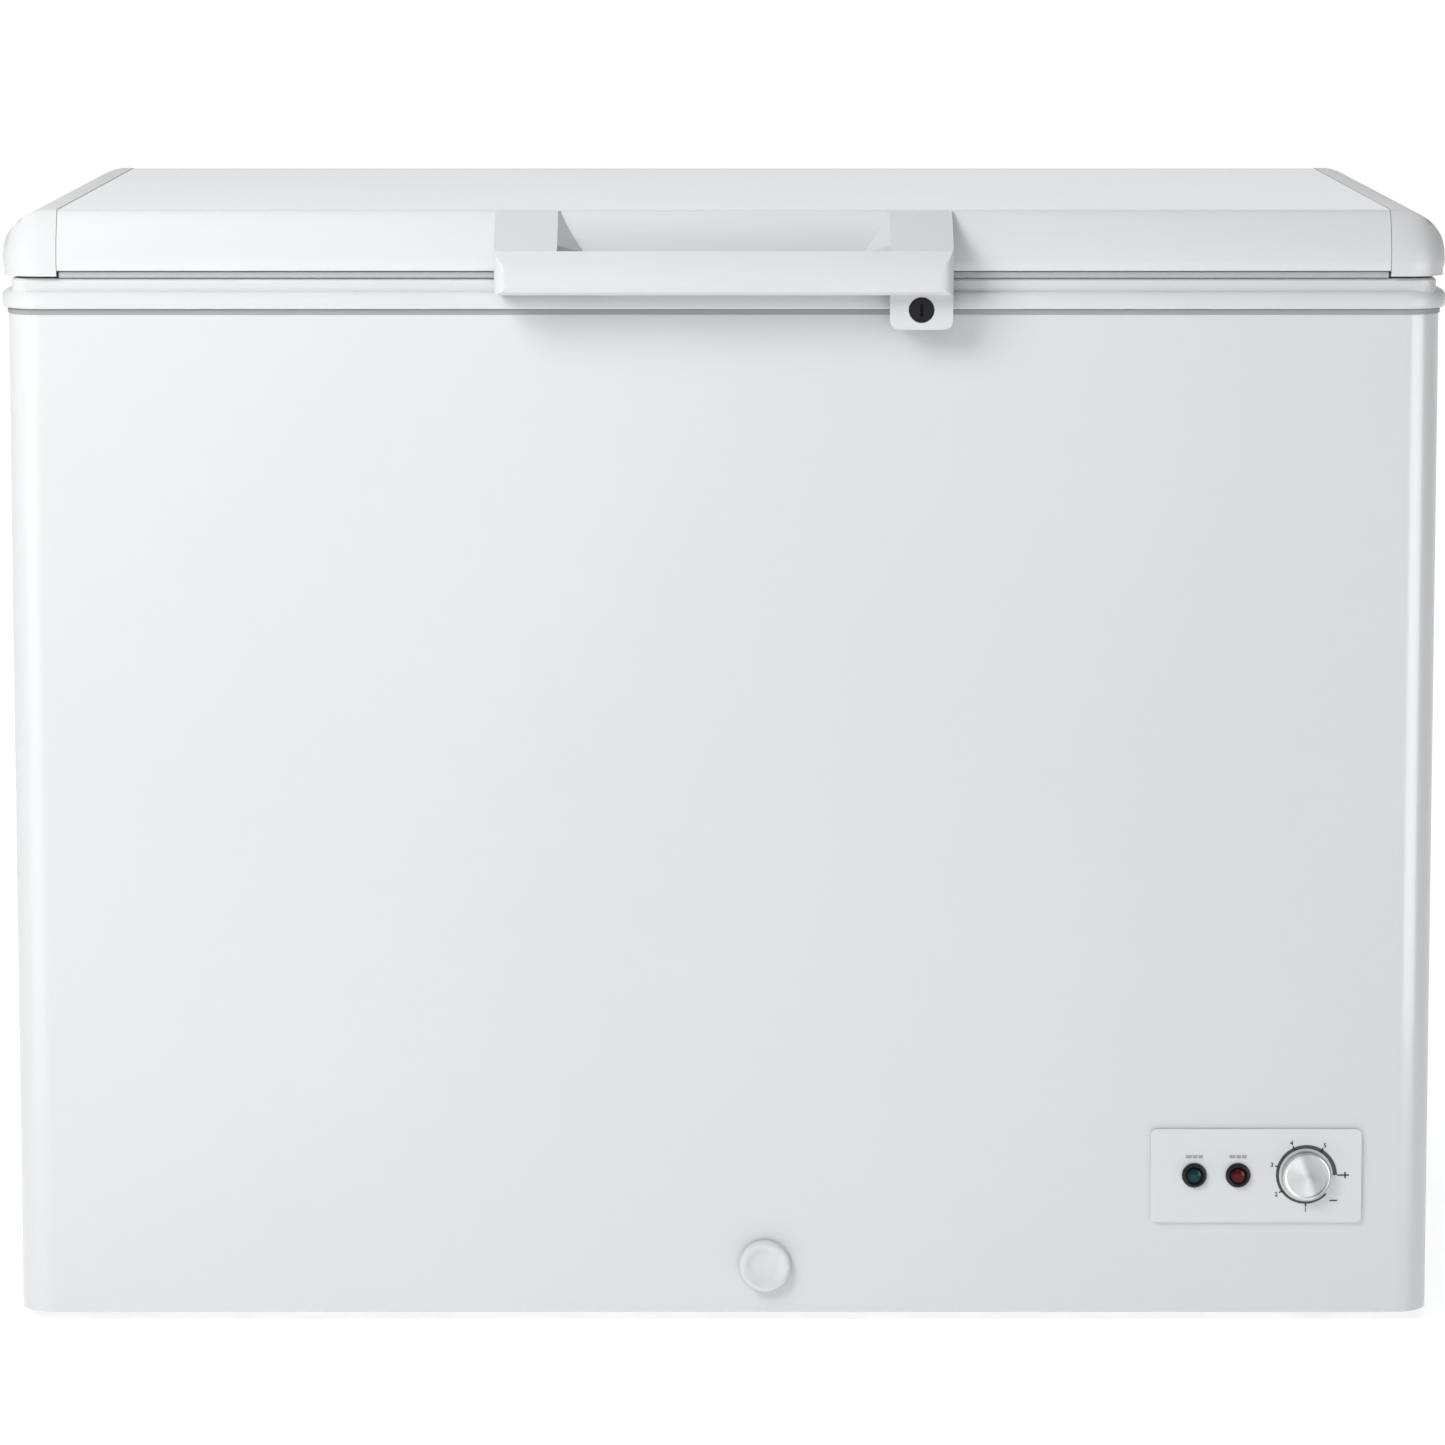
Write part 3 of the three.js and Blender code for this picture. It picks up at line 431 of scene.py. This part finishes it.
# ---------------------------------------------------------------- pieces: small turned parts
def drain_cap():
    """A dished cap with a raised rim, on a stem that plugs the drain."""
    low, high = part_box("drain_cap")
    middle = centre("drain_cap")
    radius = half_width("drain_cap")
    cap_height = 7.8 * MM
    stem_radius = 7.3 * MM
    seat = low.y + cap_height
    stem_end = seat - high.y
    profile = rounded(
        [
            (0, stem_end), (6.6 * MM, stem_end), (stem_radius, stem_end + 1.5 * MM), (stem_radius, 0),
            (radius - 0.5 * MM, 0), (radius, 2.2 * MM), (radius - 1.1 * MM, 6.2 * MM),
            (radius - 3.4 * MM, cap_height), (radius - 6.4 * MM, 7 * MM),
            (radius - 10.5 * MM, 4.6 * MM), (0, 4.1 * MM),
        ],
        2.2 * MM,
    )
    cap = lathe("drain_cap_finished", (middle.x, seat, middle.z), profile, "white_plastic")
    return stand_for(cap, "drain_cap")


def drain_plug():
    """A stopper with a round flange and a short grip."""
    low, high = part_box("drain_plug")
    middle = centre("drain_plug")
    height = high.z - low.z
    stem_radius = 7.3 * MM
    stem_length = 16 * MM
    flange_radius = 16 * MM
    profile = rounded(
        [
            (0, 0), (6.8 * MM, 0), (stem_radius, 3 * MM), (stem_radius, stem_length),
            (flange_radius, stem_length), (15.4 * MM, 19 * MM),
            (6 * MM, 20 * MM), (5 * MM, height), (0, height),
        ],
        1 * MM,
    )
    plug = lathe("drain_plug_finished", (middle.x, middle.y, low.z), profile, "white_plastic", 64, (0, 0, 1))
    return stand_for(plug, "drain_plug")


def lamp(kind):
    """A black bezel with a sloping inner wall, and a domed lens inside it."""
    bezel, glass = kind + "_lamp_bezel", kind + "_lamp_lens"
    middle = centre(bezel)
    radius = half_width(bezel)
    inner = half_width(glass)
    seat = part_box(bezel)[0].y + 3 * MM
    bezel_back, lens_back = -12 * MM, -14 * MM
    barrel = radius - 1.8 * MM
    bezel_profile = rounded(
        [
            (inner + 0.3 * MM, bezel_back), (barrel, bezel_back), (barrel, 0), (radius, 0),
            (radius, 1 * MM), (radius - 0.8 * MM, 2.6 * MM), (radius - 2.2 * MM, 3 * MM),
            (inner + 0.25 * MM, 2 * MM), (inner + 0.3 * MM, bezel_back),
        ],
        0.6 * MM,
    )
    place = (middle.x, seat, middle.z)
    stand_for(lathe(bezel + "_finished", place, bezel_profile[:-1], "black_plastic", 64), bezel)
    dome_steps = 12
    dome_foot, dome_rise = 1.2, 3.2
    dome = []
    for k in range(dome_steps):
        a = math.pi / 2 * (1 - k / dome_steps)
        dome.append((inner * math.sin(a), (dome_foot + dome_rise * math.cos(a)) * MM))
    dome.append((0, (dome_foot + dome_rise) * MM))
    profile = [(0, lens_back), (inner, lens_back), *dome]
    stand_for(lathe(glass + "_finished", place, profile, SLOT_OF_NODE[glass], 64), glass)


def thermostat_knob():
    """A short drum with a raised lip round a flat face."""
    low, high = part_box("thermostat_knob")
    middle = centre("thermostat_knob")
    radius = half_width("thermostat_knob")
    depth = high.y - low.y
    profile = rounded(
        [
            (0, 0.2 * MM), (radius - 1.5 * MM, 0.2 * MM), (radius - 0.2 * MM, 0.2 * MM), (radius, 1.6 * MM),
            (radius - 0.3 * MM, depth - 1.8 * MM), (radius - 1.3 * MM, depth - 0.2 * MM),
            (radius - 2.6 * MM, depth), (radius - 3.6 * MM, depth - 0.6 * MM), (0, depth - 0.9 * MM),
        ],
        0.8 * MM,
    )
    knob = lathe("thermostat_knob_finished", (middle.x, high.y, middle.z), profile, "silver_plastic", 144)
    return stand_for(knob, "thermostat_knob")


def foot(name):
    middle = centre(name)
    low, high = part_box(name)
    height = high.z - low.z
    radius = half_width(name)
    profile = rounded(
        [
            (0, 0), (radius - 0.6 * MM, 0), (radius, 0.8 * MM), (radius, 3 * MM),
            (radius - 3 * MM, height), (0, height),
        ],
        0.6 * MM,
    )
    made = lathe(name + "_finished", (middle.x, middle.y, low.z), profile, "black_plastic", 64, (0, 0, 1))
    return stand_for(made, name)


# ---------------------------------------------------------------- pieces: print on the control fascia
SCALE_START, SCALE_END = 317, 0
NUMBER_ANGLES = (270, 214, 163, 114, 58)
SCALE_RADIUS = 20.9 * MM
TICK_RADII = (22 * MM, 25 * MM)
TICK_HALF_ANGLE = 1.5
NUMBER_RADIUS = 27.6 * MM
NUMBER_SIZE = 4.8 * MM
NUMBER_BOLDNESS = 0.16 * MM
NUMBER_HALF_THICKNESS = 0.03 * MM
LAMP_MARK_RISE = 14.6 * MM
LAMP_MARK_HEIGHT = 2.6 * MM
LAMP_MARKS = ((-4.4, 4.6), (0.4, 3.6), (4.8, 3.6))  # offset from the lamp's middle, and width


def bar(x, z, width, height):
    return [(x - width / 2, z - height / 2), (x + width / 2, z - height / 2),
            (x + width / 2, z + height / 2), (x - width / 2, z + height / 2)]


def dial_scale():
    """The wedge that grows from the warm end to the cold end, its ticks, and plain marks for the words."""
    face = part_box("control_fascia")[0].y
    knob = centre("thermostat_knob")
    inner = SCALE_RADIUS

    def at(angle, radius):
        a = math.radians(angle)
        return knob.x + radius * math.cos(a), knob.z + radius * math.sin(a)

    steps = 72
    angles = [SCALE_START + (SCALE_END - SCALE_START) * k / steps for k in range(steps + 1)]
    widths = [(1.4 + 2.0 * (k / steps) ** 0.8) * MM for k in range(steps + 1)]
    strips = []
    for (a, b), (u, v) in zip(zip(angles, angles[1:]), zip(widths, widths[1:])):
        strips.append([at(a, inner), at(b, inner), at(b, inner + v), at(a, inner + u)])
    tick_foot, tick_end = TICK_RADII
    for angle in NUMBER_ANGLES:
        before, after = angle - TICK_HALF_ANGLE, angle + TICK_HALF_ANGLE
        strips.append([
            at(before, tick_foot), at(after, tick_foot),
            at(after, tick_end), at(before, tick_end),
        ])
    x, z = at(SCALE_START, 29.5 * MM)
    strips.append(bar(x, z, 6 * MM, 1.2 * MM))
    x, z = at(SCALE_END, 29 * MM)
    strips.append(bar(x, z, 9 * MM, 1.3 * MM))
    strips.append(bar(x + 1.5 * MM, z, 1.3 * MM, 5 * MM))
    attach(flat_print("dial_scale", strips, "print", face), "cabinet")

    for k, angle in enumerate(NUMBER_ANGLES):
        text = bpy.data.curves.new("digit", "FONT")
        text.body = str(k + 1)
        text.size = NUMBER_SIZE
        text.align_x = "CENTER"
        text.align_y = "CENTER"
        text.extrude = NUMBER_HALF_THICKNESS
        text.offset = NUMBER_BOLDNESS
        shown = bpy.data.objects.new("digit", text)
        bpy.context.scene.collection.objects.link(shown)
        x, z = at(angle, NUMBER_RADIUS)
        upright = Matrix.Rotation(math.pi / 2, 4, "X")
        shown.matrix_world = Matrix.Translation((x, face - NUMBER_HALF_THICKNESS, z)) @ upright
        bpy.context.view_layer.update()
        mesh = bpy.data.meshes.new_from_object(shown.evaluated_get(bpy.context.evaluated_depsgraph_get()))
        mesh.transform(shown.matrix_world)
        bpy.data.objects.remove(shown)
        mesh.name = f"dial_number_{k + 1}"
        attach(add_object(mesh.name, mesh, "print"), "cabinet")

    marks = []
    for kind in ("power", "alarm"):
        middle = centre(kind + "_lamp_bezel")
        for offset, width in LAMP_MARKS:
            marks.append(bar(middle.x + offset * MM, middle.z + LAMP_MARK_RISE, width * MM, LAMP_MARK_HEIGHT))
    attach(flat_print("lamp_marks", marks, "pale_print", face), "cabinet")


# ---------------------------------------------------------------- pieces: the grey strip under the rim, painted shadow
def rim_shadow_strip():
    """A grey strip round the cabinet, between the sheet and the underside of the rim's bead: painted shadow,
    a dark strip where the bead's shade falls.
    """
    low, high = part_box("outer_wrap")
    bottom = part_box("rim_frame")[0].z
    front_radius, back_radius = 28 * MM, 6 * MM  # the cabinet's corners
    # out from the sheet and up from the bead, mm
    profile = [(0.06, -4.2), (0.8, -3.9), (0.9, -0.4), (0.06, -0.1)]
    corner_steps = 12
    corners = [
        (high.x, low.y, -1, 1, -90, front_radius), (high.x, high.y, -1, -1, 0, back_radius),
        (low.x, high.y, 1, -1, 90, back_radius), (low.x, low.y, 1, 1, 180, front_radius),
    ]
    work = bmesh.new()
    rings = []
    for out, up in profile:
        ring = []
        for x, y, inwards_x, inwards_y, start, radius in corners:
            for k in range(corner_steps + 1):
                angle = math.radians(start + 90 / corner_steps * k)
                reach = radius + out * MM
                ring.append(work.verts.new((
                    x + inwards_x * radius + reach * math.cos(angle),
                    y + inwards_y * radius + reach * math.sin(angle),
                    bottom + up * MM,
                )))
        rings.append(ring)
    for lower, upper in zip(rings, rings[1:] + rings[:1]):
        for k in range(len(lower)):
            j = (k + 1) % len(lower)
            work.faces.new((lower[k], lower[j], upper[j], upper[k]))
    bmesh.ops.recalc_face_normals(work, faces=work.faces)
    mesh = bpy.data.meshes.new("rim_shadow_strip")
    work.to_mesh(mesh)
    work.free()
    shade(mesh)
    attach(add_object("rim_shadow_strip", mesh, "painted_shadow_grey"), "cabinet")


# ---------------------------------------------------------------- pieces: the gasket's outer fin
def gasket_fin():
    """A soft fin that closes the joint between the lid and the rim, along the front and the back. Its grey,
    darker than the gasket's, is partly the rubber's own and partly painted shade of the joint.
    """
    lid_low, lid_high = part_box("lid_outer_skin")
    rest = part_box("rim_frame")[1].z
    end = lid_high.x - 1.5 * MM
    # in from the lid's edge and up from the rim, mm
    section = [(4, 0.9), (5.2, 0.5), (9, 0.5), (13, 0.9), (13, 5), (9, 5.6), (5.2, 5.6), (4, 5.2), (3.6, 3)]
    work = bmesh.new()
    for edge, inwards in ((lid_low.y, 1), (lid_high.y, -1)):
        ends = []
        for x in (-end, end):
            ends.append([work.verts.new((x, edge + inwards * d * MM, rest + h * MM)) for d, h in section])
        left, right = ends
        for k in range(len(section)):
            j = (k + 1) % len(section)
            work.faces.new((left[k], left[j], right[j], right[k]))
        work.faces.new(left)
        work.faces.new(right)
    bmesh.ops.recalc_face_normals(work, faces=work.faces)
    mesh = bpy.data.meshes.new("gasket_fin")
    work.to_mesh(mesh)
    work.free()
    shade(mesh)
    attach(add_object("gasket_fin", mesh, "fin_rubber_painted_shade"), "lid")


# ---------------------------------------------------------------- pieces: screws
def screw(name, at, facing, body, radius=3.6 * MM):
    """A pan-head screw with a round socket, its head on a surface that faces that way."""
    height = 0.55 * radius
    head = rounded(
        [
            (0, height * 0.45), (radius * 0.36, height * 0.45), (radius * 0.4, height * 0.98),
            (radius * 0.62, height), (radius * 0.95, height * 0.45), (radius, 0.05 * MM), (0, 0.05 * MM),
        ],
        0.3 * MM,
        2,
    )
    attach(lathe(name, at, head, "bright_steel", 32, facing), body)


def screws():
    cover_low, cover_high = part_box("compressor_cover")
    inset = 7 * MM
    corners = [(x, z) for x in (cover_low.x + inset, cover_high.x - inset)
               for z in (cover_low.z + inset, cover_high.z - inset)]
    for k, (x, z) in enumerate(corners):
        screw(f"cover_screw_{k + 1}", (x, cover_high.y, z), (0, 1, 0), "cabinet")
    panel_low, panel_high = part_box("back_panel")
    columns = [panel_low.x + (panel_high.x - panel_low.x) * part for part in (0.01, 0.34, 0.66, 0.99)]
    for k, x in enumerate(columns):
        screw(f"back_screw_{k + 1}", (x, panel_high.y, panel_high.z - 8 * MM), (0, 1, 0), "cabinet")
    grille_low, grille_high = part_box("side_grille")
    middle = (grille_low.z + grille_high.z) / 2
    for k, y in enumerate((grille_low.y + inset, grille_high.y - inset)):
        screw(f"grille_screw_{k + 1}", (grille_high.x, y, middle), (1, 0, 0), "cabinet", 2.4 * MM)


# ---------------------------------------------------------------- pieces with the CAD shape and rounded edges
def finished_shells():
    finished("outer_wrap", 0.25 * MM, 2, 50)
    finished("back_panel", 0.25 * MM, 2)
    finished("inner_liner", 0.25 * MM, 2, 50)
    finished("rim_frame", 0.3 * MM, 2, 42)
    finished("control_fascia", 0.9 * MM, 3, 50)
    finished("side_grille", 0.7 * MM, 3)
    finished("compressor_cover", 0.25 * MM, 2)
    finished("lid_outer_skin", 0.3 * MM, 3, 42)
    for side in ("left", "right"):
        finished("lid_end_cap_" + side, 0.5 * MM, 3, 42)
        finished("hinge_base_" + side, 0.4 * MM, 2)
        finished("hinge_leaf_" + side, 0.4 * MM, 2)
        finished("hinge_pin_" + side, 0.5 * MM, 3)
        finished("hinge_cover_" + side, 1.0 * MM, 3)
    finished("lid_liner", 2.0 * MM, 4, 20)
    finished("lid_gasket", 0.4 * MM, 2)
    finished("lid_handle", 2.2 * MM, 5, 24)
    finished("lock_housing", 1.4 * MM, 4, 40)
    finished("lock_cylinder", 0.5 * MM, 3)
    finished("lock_cam", 0.3 * MM, 2)
    finished("lock_striker", 0.3 * MM, 2)
    finished("cable_gland", 0.4 * MM, 2)
    finished("terminal_cover", 2.0 * MM, 3)
    finished("thermostat_body", 1.0 * MM, 3)


# ---------------------------------------------------------------- stage, light and camera
def pale_floor():
    reach = 80
    corners = [(-reach, -reach, 0), (reach, -reach, 0), (reach, reach, 0), (-reach, reach, 0)]
    mesh = bpy.data.meshes.new("floor")
    mesh.from_pydata(corners, [], [(0, 1, 2, 3)])
    shader = Shader("floor", 0.75, Emission_Color=(1, 1, 1, 1), Emission_Strength=0.52)
    shader.colour(shader.noise(0.8, 3), (0.3, (0.90, 0.90, 0.90)), (0.7, (0.92, 0.92, 0.92)))
    mesh.materials.append(shader.material)
    floor = bpy.data.objects.new("floor", mesh)
    bpy.context.scene.collection.objects.link(floor)


def studio_world():
    """A room that brightens upwards and at the back, and dims to both sides."""
    world = bpy.data.worlds.new("studio")
    bpy.context.scene.world = world
    world.use_nodes = True
    nodes, links = world.node_tree.nodes, world.node_tree.links

    def eased(value, from_range, to_range):
        made = nodes.new("ShaderNodeMapRange")
        made.inputs["From Min"].default_value, made.inputs["From Max"].default_value = from_range
        made.inputs["To Min"].default_value, made.inputs["To Max"].default_value = to_range
        links.new(value, made.inputs["Value"])
        return made.outputs["Result"]

    place = nodes.new("ShaderNodeTexCoord")
    split = nodes.new("ShaderNodeSeparateXYZ")
    links.new(place.outputs["Generated"], split.inputs[0])
    upwards = nodes.new("ShaderNodeValToRGB")
    level, overhead = upwards.color_ramp.elements
    level.position = 0.0
    level.color = (0.36, 0.364, 0.372, 1)
    overhead.position = 0.9
    overhead.color = (0.76, 0.765, 0.775, 1)
    links.new(split.outputs["Z"], upwards.inputs["Fac"])
    links.new(upwards.outputs["Color"], nodes["Background"].inputs["Color"])
    sideways = nodes.new("ShaderNodeMath")
    sideways.operation = "ABSOLUTE"
    links.new(split.outputs["X"], sideways.inputs[0])
    strength = nodes.new("ShaderNodeMath")
    strength.operation = "MULTIPLY"
    links.new(eased(sideways.outputs[0], (0.25, 0.65), (1.0, 0.45)), strength.inputs[0])
    links.new(eased(split.outputs["Y"], (0.75, 0.95), (1.0, 2.4)), strength.inputs[1])
    links.new(strength.outputs[0], nodes["Background"].inputs["Strength"])


def softbox(name, at, aim, width, height, power, in_colour=True, in_gloss=True):
    light = bpy.data.lights.new(name, "AREA")
    light.shape = "RECTANGLE"
    light.size = width
    light.size_y = height
    light.energy = power
    shown = bpy.data.objects.new(name, light)
    shown.visible_diffuse = in_colour
    shown.visible_glossy = in_gloss
    shown.location = at
    shown.rotation_euler = (Vector(aim) - Vector(at)).to_track_quat("-Z", "Y").to_euler()
    bpy.context.scene.collection.objects.link(shown)


def softboxes():
    """A soft key from the upper left, and a strip on each side that stands below the lid's top."""
    softbox("key", (-1.3, -1.8, 1.95), (-0.1, -0.3, 0.55), 1.1, 1.1, 44, in_gloss=False)
    for name, side, power in (("left_strip", -1, 2.8), ("right_strip", 1, 12)):
        at, aim = (1.35 * side, -1.1, 0.42), (0.53 * side, -0.29, 0.42)
        softbox(name, at, aim, 0.8, 0.84, power, in_colour=False)


def photograph_camera():
    """The view of the photograph: nearly level and head-on, from a little above the lid."""
    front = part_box("outer_wrap")[0].y
    distance, height = 4.712, 1.1428
    pitch = math.radians(7.02)
    camera = bpy.data.cameras.new("camera")
    camera.sensor_width = 36
    camera.lens = 153.7
    camera.shift_y = -0.08
    camera.clip_end = 300
    shown = bpy.data.objects.new("camera", camera)
    shown.location = (-0.001, front - distance, height)
    shown.rotation_euler = (math.pi / 2 - pitch, 0, 0)
    bpy.context.scene.collection.objects.link(shown)
    bpy.context.scene.camera = shown
    bpy.context.scene.view_settings.view_transform = "Standard"


# ---------------------------------------------------------------- the assembly
photograph_camera()
pale_floor()
studio_world()
softboxes()
for node, shown in NODES.items():
    shown.data.materials.clear()
    shown.data.materials.append(MATERIALS[SLOT_OF_NODE[node]])
finished_shells()
drain_cap()
drain_plug()
lamp("power")
lamp("alarm")
thermostat_knob()
dial_scale()
rim_shadow_strip()
gasket_fin()
screws()
for corner in ("front_left", "front_right", "back_left", "back_right"):
    foot("foot_" + corner)
